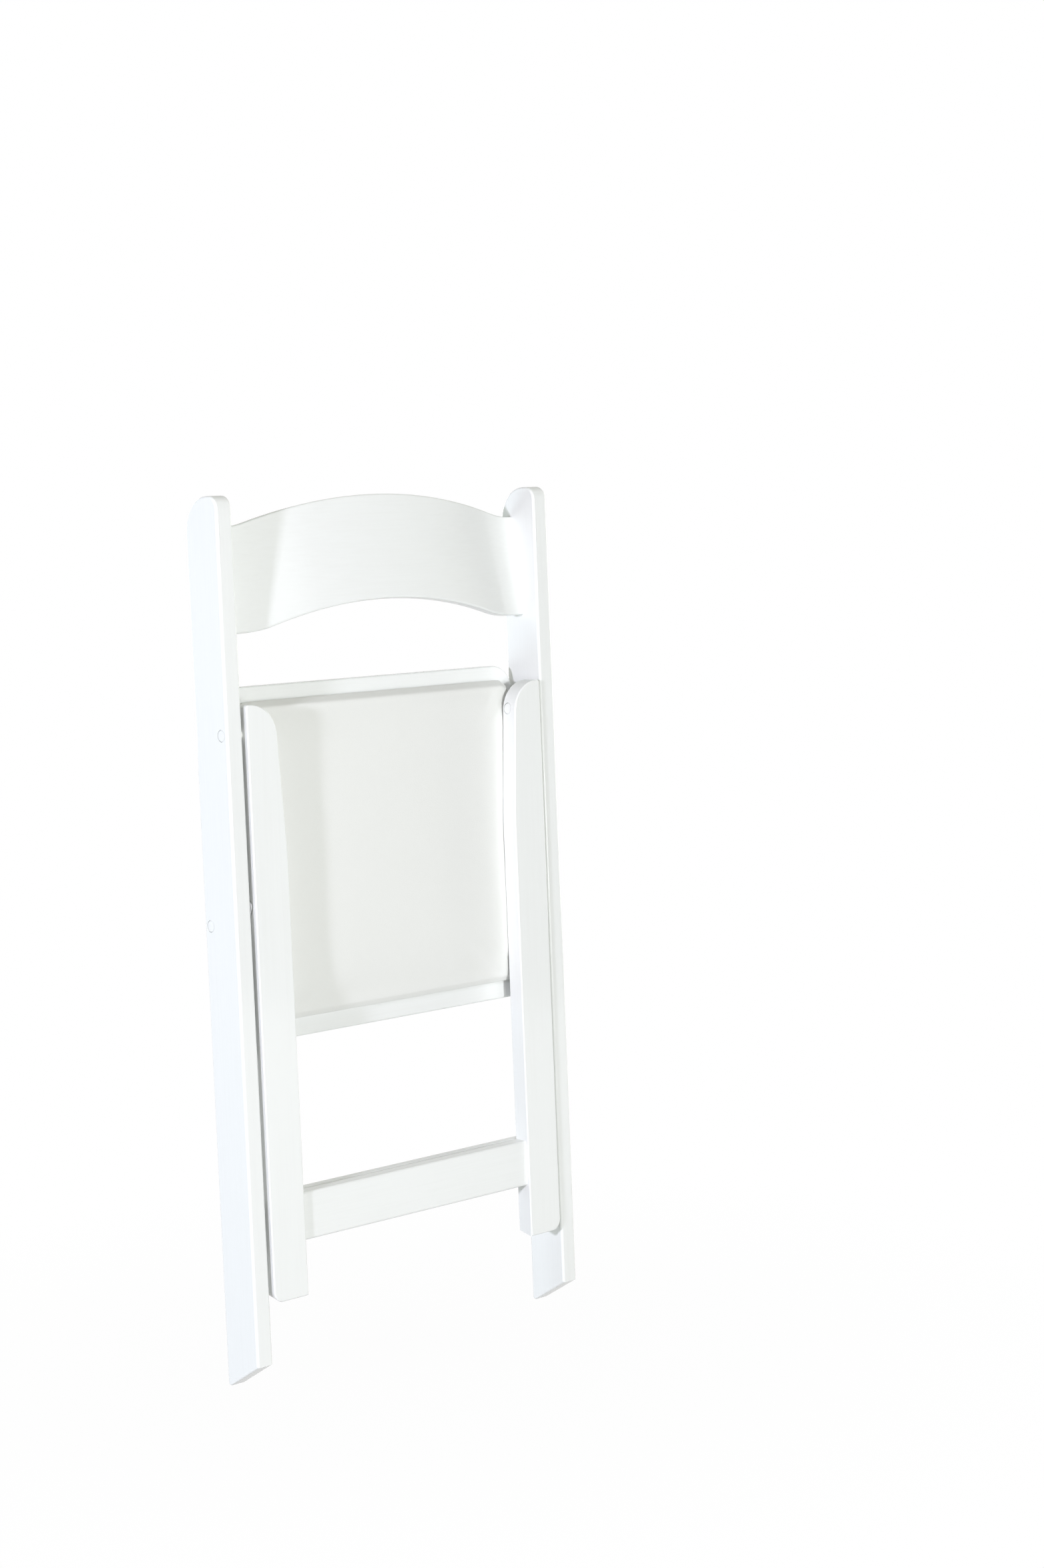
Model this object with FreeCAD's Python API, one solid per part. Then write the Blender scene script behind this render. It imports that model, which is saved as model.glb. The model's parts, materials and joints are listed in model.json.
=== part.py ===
import FreeCAD, Part
import math
import os

# A wooden folding chair, folded and standing on the toes of its two long posts.
# X runs across the chair, +Y is the way the sitter faces, +Z runs up along the posts.
# The cushion faces -Y while the chair is folded. All lengths are millimetres, angles degrees.

V = FreeCAD.Vector
ORIGIN = V(0, 0, 0)
ACROSS = V(1, 0, 0)

# Long posts: front leg and back upright in one board
overall_width = 438.0
post_length = 900.0
post_thickness = 19.0
post_depth = 52.5
post_top_front_radius = 34.0
post_top_rear_radius = 13.0
post_lean = 29.5
wood_arris = 2.5
arris_margin = 0.5

# Back slat: a bent board with an arched top and bottom edge
slat_below_top = 31.5
slat_end_height = 106.5
slat_thickness = 12.0
slat_bow = 21.0
slat_tilt = 7.0
slat_setback = 8.5
slat_top_rise = 26.5
slat_top_flat = 7.9
slat_top_flare = 110.0
slat_bottom_rise = 24.8
slat_bottom_flat = 23.6
slat_bottom_flare = 120.0
slat_arris = 2.0

# Rear legs, and the two equal rails that tie the legs and the posts
leg_width = 43.0
leg_thickness = 20.0
leg_behind_post = 3.0
leg_arris = 1.5
leg_spread = 42.0
leg_head_above_pivot = 29.0
leg_head_width = 35.0
leg_head_radius = 32.0
leg_taper_below_pivot = 119.0
leg_taper_radius = 700.0
leg_foot_radius = 11.0
stretcher_height = 49.5
stretcher_low = 145.0
stretcher_thickness = 16.0
front_stretcher_thickness = 12.0
stretcher_recess = 3.9
stretcher_gap = 1.0

# Pivots: height up the post and distance from the post's rear or front face
leg_pivot_height = 664.0
leg_pivot_inset = 9.75
seat_pivot_height = 472.0
seat_pivot_inset = 9.25
bolt_radius = 3.0
bolt_head_radius = 5.5
bolt_head_height = 4.0
bolt_reach = 16.0
plug_radius = 6.25
plug_length = 5.0
bush_radius = 4.5
bush_flange = 3.0
bush_margin = 1.0
washer_radius = 5.0
washer_play = 0.3
running_fit = 0.05
wood_fit = 0.05
overcut = 1.0

# Seat frame, measured from the seat pivot
seat_gap = 4.5
seat_tilt = 2.0
seat_front_reach = 236.6
seat_rear_reach = 124.2
seat_thickness = 20.0
seat_front_radius = 27.0
seat_rear_radius = 6.0
seat_arris = 2.5
front_rail_width = 45.0
rear_rail_width = 40.0
side_rail_width = 48.0
seat_bolt_reach = 22.0
seat_bush_wall = 3.0
dowel_radius = 4.0
dowel_length = 40.0
slat_dowel_radius = 3.5
slat_dowel_in_post = 10.0
slat_dowel_in_slat = 12.0
slat_dowel_step = 24.0
stretcher_dowel_step = 12.0
seat_dowel_step = 7.0

# Upholstered pad: plywood board, foam and a stapled cover
pad_front_rim = 14.8
pad_rear_rim = 19.7
pad_side_rim = 11.0
pad_corner_radius = 18.0
pad_edge_height = 9.0
pad_crown = 7.0
pad_draw_in = 1.5
pad_roll = 5.0
cover_thickness = 1.0
cover_flange = 22.0
board_thickness = 5.0
pad_play = 0.2
screw_radius = 2.0
screw_head_radius = 4.0
screw_head_height = 2.5
screw_bite = 4.0
screw_inset = 7.5
screws_per_side = 3
staple_crown = 10.0
staple_wire = 0.6
staple_leg = 3.6
staple_inset = 11.0
staples_per_side = 5

# Folding links between each rear leg and the seat
link_above_seat_pivot = 20.0
link_inset = 11.45
link_behind_seat_pivot = 68.14
link_drop = 3.0
link_radius = 6.5
link_thickness = 1.6
link_post_play = 1.2
link_leg_play = 1.2
rivet_radius = 3.0
rivet_head_radius = 5.0
rivet_head_height = 0.35
rivet_depth = 14.0
rivet_play = 0.05
stud_radius = 4.0
stud_depth = 12.0
open_pivot_play = 0.3

# Places worked out from the sizes above
post_out = overall_width / 2
post_in = post_out - post_thickness
rear_face = -post_depth / 2
front_face = post_depth / 2
leg_gap = link_thickness + link_leg_play + link_post_play
leg_out = post_in - leg_gap
leg_in = leg_out - leg_width
leg_rear = rear_face - leg_behind_post
leg_front = leg_rear + leg_thickness
rear_stretcher = leg_rear + stretcher_recess
front_stretcher = rear_stretcher + stretcher_thickness + stretcher_gap
leg_pivot = V(0, rear_face + leg_pivot_inset, leg_pivot_height)
seat_pivot = V(0, front_face - seat_pivot_inset, seat_pivot_height)
seat_out = post_in - seat_gap
seat_top = -seat_thickness / 2
seat_bottom = seat_thickness / 2
rail_low = -seat_rear_reach + rear_rail_width
rail_high = seat_front_reach - front_rail_width
pad_half = seat_out - pad_side_rim
pad_low = -seat_rear_reach + pad_rear_rim
pad_high = seat_front_reach - pad_front_rim
pad_centre = (pad_low + pad_high) / 2
pad_half_length = (pad_high - pad_low) / 2
pad_base = seat_top - staple_wire
link_outer = post_in - link_post_play
link_inner = link_outer - link_thickness

# Both pairs of feet stand on one floor when the posts lean back and the legs are spread
post_angle = math.radians(post_lean)
leg_angle = math.radians(leg_spread - post_lean)
corner_radius = wood_arris + arris_margin
toe_drop = corner_radius * (1 / math.tan((math.pi / 2 - post_angle) / 2) - 1)
heel_height = post_depth * math.tan(post_angle) - toe_drop
toe_middle = (heel_height - toe_drop) / 2
pivot_to_floor = math.sin(post_angle) * leg_pivot.y + math.cos(post_angle) * (leg_pivot.z - toe_middle)
leg_reach = (pivot_to_floor + math.sin(leg_angle) * (leg_pivot.y - leg_rear)) / math.cos(leg_angle)
leg_foot_height = leg_pivot_height - leg_reach
leg_foot_rise = leg_thickness * math.tan(leg_angle)

# The folded seat leans past the posts' front faces, and the origin lies under the middle of the whole chair
tilt_cos = math.cos(math.radians(seat_tilt))
tilt_sin = math.sin(math.radians(seat_tilt))
seat_lip = (seat_bottom - seat_arris) * tilt_cos + (seat_front_reach - seat_arris) * tilt_sin + seat_arris
frontmost = max(front_face, seat_pivot.y + seat_lip)
rearmost = min(rear_face, leg_rear)
to_origin = V(0, -(frontmost + rearmost) / 2, 0)


def side_plane(a, b):
    """A point of a side view: a along Y, b up."""
    return V(0, a, b)


def front_plane(a, b):
    """A point of a front view: a along X, b up."""
    return V(a, 0, b)


def rounded_wire(points, radii, place):
    """A closed outline whose corners are turned by tangent arcs of the given radii."""
    corners = []
    count = len(points)
    for i, (a, b) in enumerate(points):
        here = V(a, b, 0)
        back = V(*points[i - 1], 0) - here
        ahead = V(*points[(i + 1) % count], 0) - here
        room = min(back.Length, ahead.Length)
        back.normalize()
        ahead.normalize()
        half = back.getAngle(ahead) / 2
        radius = min(radii[i], 0.98 * room * math.tan(half))
        if radius <= 0:
            corners.append((here, None, here))
            continue
        reach = radius / math.tan(half)
        inward = back + ahead
        inward.normalize()
        middle = here + inward * (radius / math.sin(half) - radius)
        corners.append((here + back * reach, middle, here + ahead * reach))

    edges = []
    for i, (start, middle, end) in enumerate(corners):
        first = place(start.x, start.y)
        last = place(end.x, end.y)
        if middle is not None:
            edges.append(Part.Arc(first, place(middle.x, middle.y), last).toShape())
        following = corners[(i + 1) % count][0]
        target = place(following.x, following.y)
        if last.distanceToPoint(target) > 1e-6:
            edges.append(Part.LineSegment(last, target).toShape())
    return Part.Wire(edges)


def rounded_rectangle(half_width, low, high, radius, place):
    """A rectangle centred on X = 0 with four equal rounded corners."""
    points = [(-half_width, low), (half_width, low), (half_width, high), (-half_width, high)]
    return rounded_wire(points, [radius] * 4, place)


def prism(wire, direction):
    return Part.Face(wire).extrude(direction)


def rod(radius, start, end, y, z):
    """A round bar along X from start to end."""
    return Part.makeCylinder(radius, end - start, V(start, y, z), ACROSS)


def box(x0, x1, y0, y1, z0, z1):
    return Part.makeBox(x1 - x0, y1 - y0, z1 - z0, V(x0, y0, z0))


def mirrored(shape):
    return shape.mirror(ORIGIN, ACROSS)


def both_sides(shape):
    """The right-hand piece and its mirror image as one group."""
    return Part.Compound([shape, mirrored(shape)])


def round_edges(shape, radius, wanted):
    """Fillets the edges that the wanted test picks."""
    return shape.makeFillet(radius, [edge for edge in shape.Edges if wanted(edge)])


def lies_on(edge, name, value):
    """True where an edge lies in the plane where the named coordinate has that value."""
    ends = [getattr(vertex.Point, name) for vertex in edge.Vertexes]
    ends.append(getattr(edge.CenterOfMass, name))
    return all(abs(end - value) < 1e-4 for end in ends)


def in_seat_place(shape):
    """Moves a piece from the seat's own axes, drawn about its pivot, to its folded place."""
    placed = shape.copy()
    placed.rotate(ORIGIN, ACROSS, -seat_tilt)
    placed.translate(seat_pivot)
    return placed


def save(shape, name):
    """Writes a piece, moved so that the origin lies under the middle of the folded chair."""
    shape = shape.copy()
    shape.translate(to_origin)
    shape.exportStep("parts/" + name + ".step")
    print(name, "solids", len(shape.Solids), "volume", round(shape.Volume, 1), "valid", shape.isValid())


def pivot_recess(pivot):
    """The hole for a pivot bolt and its plug through the right-hand post."""
    bottom = post_out - plug_length - bolt_head_height
    recess = rod(plug_radius, bottom, post_out + overcut, pivot.y, pivot.z)
    hole = rod(bolt_radius + wood_fit, post_in - overcut, bottom + overcut, pivot.y, pivot.z)
    return recess.fuse(hole)


def pivot_bolt(pivot, end):
    """A round-headed bolt that sits under its plug and reaches inwards to end."""
    top = post_out - plug_length
    head = rod(bolt_head_radius, top - bolt_head_height, top, pivot.y, pivot.z)
    shank = rod(bolt_radius, end, top, pivot.y, pivot.z)
    return head.fuse(shank).removeSplitter()


def post_plug(pivot, post_blank):
    """A wooden plug that closes the bolt hole flush with the post's outer face."""
    peg = rod(plug_radius - wood_fit, post_out - plug_length, post_out + overcut, pivot.y, pivot.z)
    return peg.common(post_blank)


def pivot_washer(pivot, gap):
    """A nylon spacer on the post's inner face."""
    outer = rod(washer_radius, post_in - gap + washer_play, post_in, pivot.y, pivot.z)
    return outer.cut(rod(bolt_radius + running_fit, post_in - gap, post_in + overcut, pivot.y, pivot.z))


def right_post_blank():
    """The right-hand post before its holes, with a slanted toe that stands flat when the chair is open."""
    points = [(front_face, -toe_drop), (front_face, post_length)]
    points += [(rear_face, post_length), (rear_face, heel_height)]
    radii = [corner_radius, post_top_front_radius, post_top_rear_radius, 0]
    wire = rounded_wire(points, radii, side_plane)
    wire.translate(V(post_in, 0, 0))
    blank = prism(wire, V(post_thickness, 0, 0))
    return round_edges(blank, wood_arris, lambda e: lies_on(e, "x", post_in) or lies_on(e, "x", post_out))


def slat_edge(rise, end_flat, flare):
    """Half of an arched edge: where its flat ends, a point of the flare and where the crown starts."""
    span = post_in - end_flat
    both_radii = (span ** 2 + rise ** 2) / (2 * rise)
    turn = math.asin(span / both_radii)
    in_flare = (span - flare * math.sin(turn / 2), flare * (1 - math.cos(turn / 2)))
    joint = (span - flare * math.sin(turn), flare * (1 - math.cos(turn)))
    return (span, 0), in_flare, joint


def arched_edges(height, rise, end_flat, flare):
    """The arched edge from the left end of the slat to the right end, at the given height."""
    flat, in_flare, joint = slat_edge(rise, end_flat, flare)

    def right(p):
        return front_plane(p[0], height + p[1])

    def left(p):
        return front_plane(-p[0], height + p[1])

    ends = [front_plane(-post_in, height), front_plane(post_in, height)]
    return [
        Part.LineSegment(ends[0], left(flat)).toShape(),
        Part.Arc(left(flat), left(in_flare), left(joint)).toShape(),
        Part.Arc(left(joint), front_plane(0, height + rise), right(joint)).toShape(),
        Part.Arc(right(joint), right(in_flare), right(flat)).toShape(),
        Part.LineSegment(right(flat), ends[1]).toShape(),
    ]


def back_slat_blank():
    """The slat drawn upright about its own middle: a bent strip trimmed to the arched outline."""
    half_height = slat_end_height / 2
    top = arched_edges(half_height, slat_top_rise, slat_top_flat, slat_top_flare)
    bottom = arched_edges(-half_height, slat_bottom_rise, slat_bottom_flat, slat_bottom_flare)
    sides = []
    for end in (-post_in, post_in):
        foot = front_plane(end, -half_height)
        sides.append(Part.LineSegment(foot, front_plane(end, half_height)).toShape())
    outline = Part.Wire(Part.__sortEdges__(top + bottom + sides))
    reach = slat_bow + slat_thickness
    outline.translate(V(0, -2 * reach, 0))
    trim = prism(outline, V(0, 4 * reach, 0))

    rear = slat_thickness / -2
    front = slat_thickness / 2
    corners = [V(-post_in, rear, 0), V(post_in, rear, 0), V(post_in, front, 0), V(-post_in, front, 0)]
    strip = Part.Wire([
        Part.Arc(corners[0], V(0, rear - slat_bow, 0), corners[1]).toShape(),
        Part.LineSegment(corners[1], corners[2]).toShape(),
        Part.Arc(corners[2], V(0, front - slat_bow, 0), corners[3]).toShape(),
        Part.LineSegment(corners[3], corners[0]).toShape(),
    ])
    strip.translate(V(0, 0, -slat_end_height))
    bent = prism(strip, V(0, 0, 2 * slat_end_height + slat_top_rise))
    slat = bent.common(trim)
    return round_edges(slat, slat_arris, runs_along_slat)


def runs_along_slat(edge):
    """True for an edge that lies on the slat's rear or front face and off its ends."""
    bounds = edge.BoundBox
    across_thickness = bounds.XLength < slat_arris and bounds.ZLength < slat_arris
    return not across_thickness and not lies_on(edge, "x", post_in) and not lies_on(edge, "x", -post_in)


def in_slat_place(shape):
    """Tips the slat's top edge forward and sets it at its height between the posts."""
    placed = shape.copy()
    placed.rotate(ORIGIN, ACROSS, -slat_tilt)
    placed.translate(V(0, slat_setback, post_length - slat_below_top - slat_end_height / 2))
    return placed


def slat_dowel(height, radius):
    """One of the two dowels at the slat's right end, in the slat's own axes and inside its bend."""
    bend = slat_bow * slat_dowel_in_slat / post_in
    return rod(radius, post_in - slat_dowel_in_slat, post_in + slat_dowel_in_post, -bend, height)


def right_leg_blank():
    """A flat rear leg with a quarter-round head and a foot cut flat for the open chair."""
    head = leg_pivot_height + leg_head_above_pivot
    taper = leg_pivot_height - leg_taper_below_pivot
    head_in = leg_out - leg_head_width
    points = [(leg_out, leg_foot_height), (leg_out, head), (head_in, head), (leg_in, taper)]
    points.append((leg_in, leg_foot_height))
    wire = rounded_wire(points, [0, corner_radius, leg_head_radius, leg_taper_radius, 0], front_plane)
    wire.translate(V(0, leg_rear, 0))
    blank = prism(wire, V(0, leg_thickness, 0))

    instep = leg_foot_height + leg_foot_rise
    side = [(leg_rear, leg_foot_height), (leg_rear, head), (leg_front, head), (leg_front, instep)]
    side_wire = rounded_wire(side, [0] * 4, side_plane)
    side_wire.translate(V(leg_in, 0, 0))
    blank = blank.common(prism(side_wire, V(leg_width, 0, 0)))
    sole = V(leg_out, (leg_rear + leg_front) / 2, (leg_foot_height + instep) / 2)
    blank = round_edges(blank, leg_foot_radius, lambda e: e.CenterOfMass.distanceToPoint(sole) < wood_arris)
    return round_edges(blank, leg_arris, lambda e: lies_on(e, "y", leg_rear) or lies_on(e, "y", leg_front))


def leg_nut_seat():
    """Inner end of the leg pivot's nut, under its plug."""
    return leg_out - leg_head_width + plug_length


def leg_nut():
    """A flanged sleeve nut that turns on the leg pivot bolt."""
    start = leg_nut_seat()
    y, z = leg_pivot.y, leg_pivot.z
    flange = rod(bolt_head_radius, start, start + bush_flange, y, z)
    barrel = rod(bush_radius, start, leg_out - bush_margin, y, z)
    bore = rod(bolt_radius + running_fit, leg_out - bolt_reach - bush_margin, leg_out, y, z)
    return flange.fuse(barrel).removeSplitter().cut(bore)


def leg_nut_hole():
    """The stepped hole through the leg for the nut, its plug and the bolt."""
    start = leg_nut_seat()
    y, z = leg_pivot.y, leg_pivot.z
    wide = rod(plug_radius, leg_in - overcut, start + bush_flange, y, z)
    return wide.fuse(rod(bush_radius + wood_fit, start, leg_out + overcut, y, z))


def stretcher_blank(reach, rear, thickness):
    """A plain rail that reaches out to both sides alike, with its rear face at the given depth."""
    top = stretcher_low + stretcher_height
    body = box(-reach, reach, rear, rear + thickness, stretcher_low, top)
    return round_edges(body, wood_arris, lambda e: abs(e.Length - 2 * reach) < 1e-4)


def stretcher_dowel(step, radius, start, end, middle):
    """A dowel from inside a stretcher's right end into the board beside it."""
    z = stretcher_low + stretcher_height / 2 + step
    return rod(radius, start, end, middle, z)


def leg_stretcher_dowel(step, radius):
    """A dowel across the joint between the rear stretcher and the right leg."""
    half = dowel_length / 2
    middle = rear_stretcher + stretcher_thickness / 2
    return stretcher_dowel(step, radius, leg_in - half, leg_in + half, middle)


def post_stretcher_dowel(step, radius):
    """A dowel across the joint between the front stretcher and the right post."""
    end = post_in + slat_dowel_in_post
    middle = front_stretcher + front_stretcher_thickness / 2
    return stretcher_dowel(step, radius, post_in - dowel_length / 2, end, middle)


def seat_ring():
    """The seat frame as one ring, before it is parted into four rails."""
    points = [(-seat_out, -seat_rear_reach), (seat_out, -seat_rear_reach),
              (seat_out, seat_front_reach), (-seat_out, seat_front_reach)]
    outer = rounded_wire(points, [seat_rear_radius] * 2 + [seat_front_radius] * 2, front_plane)
    inner = rounded_rectangle(seat_out - side_rail_width, rail_low, rail_high, 0, front_plane)
    for wire in (outer, inner):
        wire.translate(V(0, seat_top, 0))
    ring = prism(outer, V(0, seat_thickness, 0))
    ring = round_edges(ring, seat_arris, lambda e: lies_on(e, "y", seat_top) or lies_on(e, "y", seat_bottom))
    return ring.cut(prism(inner, V(0, seat_thickness, 0)))


def seat_slab(x0, x1, z0, z1):
    """A block that cuts one rail out of the seat ring."""
    return box(x0, x1, seat_top - overcut, seat_bottom + overcut, z0, z1)


def seat_dowel(step, at, radius):
    """A dowel along the seat's depth in the right-hand corner joint at the given place."""
    x = seat_out - side_rail_width / 2 + step
    return Part.makeCylinder(radius, dowel_length, V(x, 0, at - dowel_length / 2), V(0, 0, 1))


def seat_bush():
    """A sleeve in the right side rail that turns on the seat pivot bolt."""
    deepest = seat_out - seat_bolt_reach - bush_margin
    sleeve = rod(bush_radius, deepest - seat_bush_wall, seat_out, 0, 0)
    return sleeve.cut(rod(bolt_radius + running_fit, deepest, seat_out + overcut, 0, 0))


def seat_stud(radius, end):
    """The stud on the right side rail that the folding link's lower end closes on."""
    return rod(radius, seat_out - stud_depth, end, link_drop, -link_behind_seat_pivot)


def pad_section(inset, height):
    """The pad's outline at a height above its underside, drawn in by inset."""
    half = pad_half - inset
    length = pad_half_length - inset
    radius = min(pad_corner_radius + inset / 2, 0.8 * min(half, length))
    wire = rounded_rectangle(half, pad_centre - length, pad_centre + length, radius, front_plane)
    wire.translate(V(0, pad_base - height, 0))
    return wire


def pad_form(skin, floor):
    """The crowned form of the pad, skin millimetres inside its outer surface and cut off at floor."""
    span = min(pad_half, pad_half_length)
    rounds = [(0.0, pad_draw_in), (0.35, 0.0), (0.72, pad_draw_in), (0.94, pad_roll)]
    heights = [(floor + share * (pad_edge_height - skin - floor), inset) for share, inset in rounds]
    for share in (0.12, 0.28, 0.5, 0.72, 0.9):
        rise = pad_crown * math.sin(share * math.pi / 2)
        heights.append((pad_edge_height - skin + rise, share * span))
    return Part.makeLoft([pad_section(inset + skin, height) for height, inset in heights], True, True)


def pad_plate(inset, low, high):
    """A flat slice of the pad between two heights."""
    return prism(pad_section(inset, low), V(0, low - high, 0))


def staple_legs(play):
    """The two legs of a staple drawn along X at the pad's middle, with play all round."""
    side = staple_wire / 2 + play
    offset = (staple_crown - staple_wire) / 2
    legs = []
    for x in (-offset, offset):
        legs.append(box(x - side, x + side, pad_base - staple_leg - play, pad_base, -side, side))
    return legs


def staple():
    """One staple, whose crown lies under the cover's turned-in edge."""
    half = staple_crown / 2
    side = staple_wire / 2
    crown = box(-half, half, pad_base, pad_base + staple_wire, -side, side)
    return crown.fuse(staple_legs(0)).removeSplitter()


def round_the_pad(piece):
    """Copies of a piece round the underside of the pad, in even steps along each side."""
    row = pad_half - staple_inset
    column = pad_half_length - staple_inset
    group = []
    for i in range(staples_per_side):
        share = (i + 1) / (staples_per_side + 1) * 2 - 1
        for sign in (-1, 1):
            along = piece.copy()
            along.translate(V(share * row, 0, pad_centre + sign * column))
            across = piece.copy()
            across.rotate(ORIGIN, V(0, 1, 0), 90)
            across.translate(V(sign * row, 0, pad_centre + share * column))
            group += [along, across]
    return group


def screw_places():
    """Where the pad's screws pass up through the right side rail, along the seat's depth."""
    x = seat_out - side_rail_width + screw_inset
    step = (rail_high - rail_low) / screws_per_side
    return [(x, rail_low + (i + 0.5) * step) for i in range(screws_per_side)]


def pad_screw(x, z, play):
    """A countersunk screw from under the rail into the pad's board."""
    tip = pad_base - cover_thickness - screw_bite - play
    radius = screw_radius + play
    shank = Part.makeCylinder(radius, seat_bottom - tip, V(x, tip, z), V(0, 1, 0))
    head = Part.makeCone(radius, screw_head_radius + play, screw_head_height,
                         V(x, seat_bottom - screw_head_height, z), V(0, 1, 0))
    return shank.fuse(head).removeSplitter()


def right_link():
    """A flat steel link with round ends, from the leg's rivet to the seat's stud."""
    upper = leg_link_point()
    lower = seat_link_point()
    along = lower - upper
    length = along.Length
    along.normalize()
    across = V(0, along.z, -along.y)
    edges = []
    corners = [upper + across * link_radius, lower + across * link_radius,
               lower - across * link_radius, upper - across * link_radius]
    edges.append(Part.LineSegment(corners[0], corners[1]).toShape())
    edges.append(Part.Arc(corners[1], lower + along * link_radius, corners[2]).toShape())
    edges.append(Part.LineSegment(corners[2], corners[3]).toShape())
    edges.append(Part.Arc(corners[3], upper - along * link_radius, corners[0]).toShape())
    plate = prism(Part.Wire(edges), V(link_thickness, 0, 0))
    plate.translate(V(link_inner, 0, 0))
    print("link length", round(length, 2))
    for point in (upper, lower):
        hole = rod(rivet_radius + running_fit, link_inner - overcut, link_outer + overcut, point.y, point.z)
        plate = plate.cut(hole)
    return plate


def leg_link_point():
    return V(0, leg_rear + link_inset, seat_pivot_height + link_above_seat_pivot)


def seat_link_point():
    point = V(0, link_drop, -link_behind_seat_pivot)
    return FreeCAD.Rotation(ACROSS, -seat_tilt).multVec(point) + seat_pivot


def rivet_head(point, start):
    """A low head outside the link."""
    return rod(rivet_head_radius, start, start + rivet_head_height, point.y, point.z)


def leg_rivet():
    """The rivet that the link swings on, set in the right leg."""
    point = leg_link_point()
    under_head = link_outer + rivet_play
    shank = rod(rivet_radius, leg_out - rivet_depth, under_head + rivet_head_height, point.y, point.z)
    return shank.fuse(rivet_head(point, under_head)).removeSplitter()


def link_pin():
    """The rivet at the link's lower end, which sits over the seat's stud when folded and when open."""
    point = seat_link_point()
    shank = rod(rivet_radius, link_inner, link_outer + rivet_head_height, point.y, point.z)
    return shank.fuse(rivet_head(point, link_outer)).removeSplitter()


def build_back_frame():
    """Two posts, the slat and the stretcher between them, and the pivot hardware that the posts carry."""
    blank = right_post_blank()
    post = blank.cut([pivot_recess(leg_pivot), pivot_recess(seat_pivot)])
    slat = back_slat_blank()
    steps = (-slat_dowel_step, slat_dowel_step)
    holes = [slat_dowel(step, slat_dowel_radius + wood_fit) for step in steps]
    slat = slat.cut(holes + [mirrored(hole) for hole in holes])
    post = post.cut([in_slat_place(hole) for hole in holes])
    dowels = [in_slat_place(slat_dowel(step, slat_dowel_radius)) for step in steps]
    steps = (-stretcher_dowel_step, stretcher_dowel_step)
    holes = [post_stretcher_dowel(step, dowel_radius + wood_fit) for step in steps]
    rail = stretcher_blank(post_in, front_stretcher, front_stretcher_thickness)
    stretcher = rail.cut(holes + [mirrored(hole) for hole in holes])
    post = post.cut(holes)
    pegs = [post_stretcher_dowel(step, dowel_radius) for step in steps]

    save(post, "right_post")
    save(mirrored(post), "left_post")
    save(in_slat_place(slat), "back_slat")
    save(Part.Compound(dowels + [mirrored(dowel) for dowel in dowels]), "slat_dowels")
    save(stretcher, "front_stretcher")
    save(Part.Compound(pegs + [mirrored(peg) for peg in pegs]), "front_stretcher_dowels")
    save(both_sides(post_plug(leg_pivot, blank)), "post_upper_plugs")
    save(both_sides(post_plug(seat_pivot, blank)), "post_lower_plugs")
    save(both_sides(pivot_bolt(leg_pivot, leg_out - bolt_reach)), "leg_pivot_bolts")
    save(both_sides(pivot_bolt(seat_pivot, seat_out - seat_bolt_reach)), "seat_pivot_bolts")
    save(both_sides(pivot_washer(leg_pivot, leg_gap)), "leg_pivot_washers")
    save(both_sides(pivot_washer(seat_pivot, seat_gap)), "seat_pivot_washers")


def build_rear_legs():
    """Two legs, the stretcher that ties them and what is set into them."""
    blank = right_leg_blank()
    steps = (-stretcher_dowel_step, stretcher_dowel_step)
    point = leg_link_point()
    rivet_hole = rod(rivet_radius + wood_fit, leg_out - rivet_depth, leg_out + overcut, point.y, point.z)
    holes = [leg_stretcher_dowel(step, dowel_radius + wood_fit) for step in steps]
    leg = blank.cut([leg_nut_hole(), rivet_hole] + holes)
    rail = stretcher_blank(leg_in, rear_stretcher, stretcher_thickness)
    stretcher = rail.cut(holes + [mirrored(hole) for hole in holes])
    dowels = [leg_stretcher_dowel(step, dowel_radius) for step in steps]
    peg = rod(plug_radius - wood_fit, leg_in - overcut, leg_nut_seat(), leg_pivot.y, leg_pivot.z)

    save(leg, "right_leg")
    save(mirrored(leg), "left_leg")
    save(stretcher, "rear_stretcher")
    save(Part.Compound(dowels + [mirrored(dowel) for dowel in dowels]), "rear_stretcher_dowels")
    save(both_sides(leg_nut()), "leg_pivot_nuts")
    save(both_sides(peg.common(blank)), "leg_inner_plugs")
    save(both_sides(leg_rivet()), "link_rivets")


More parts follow.
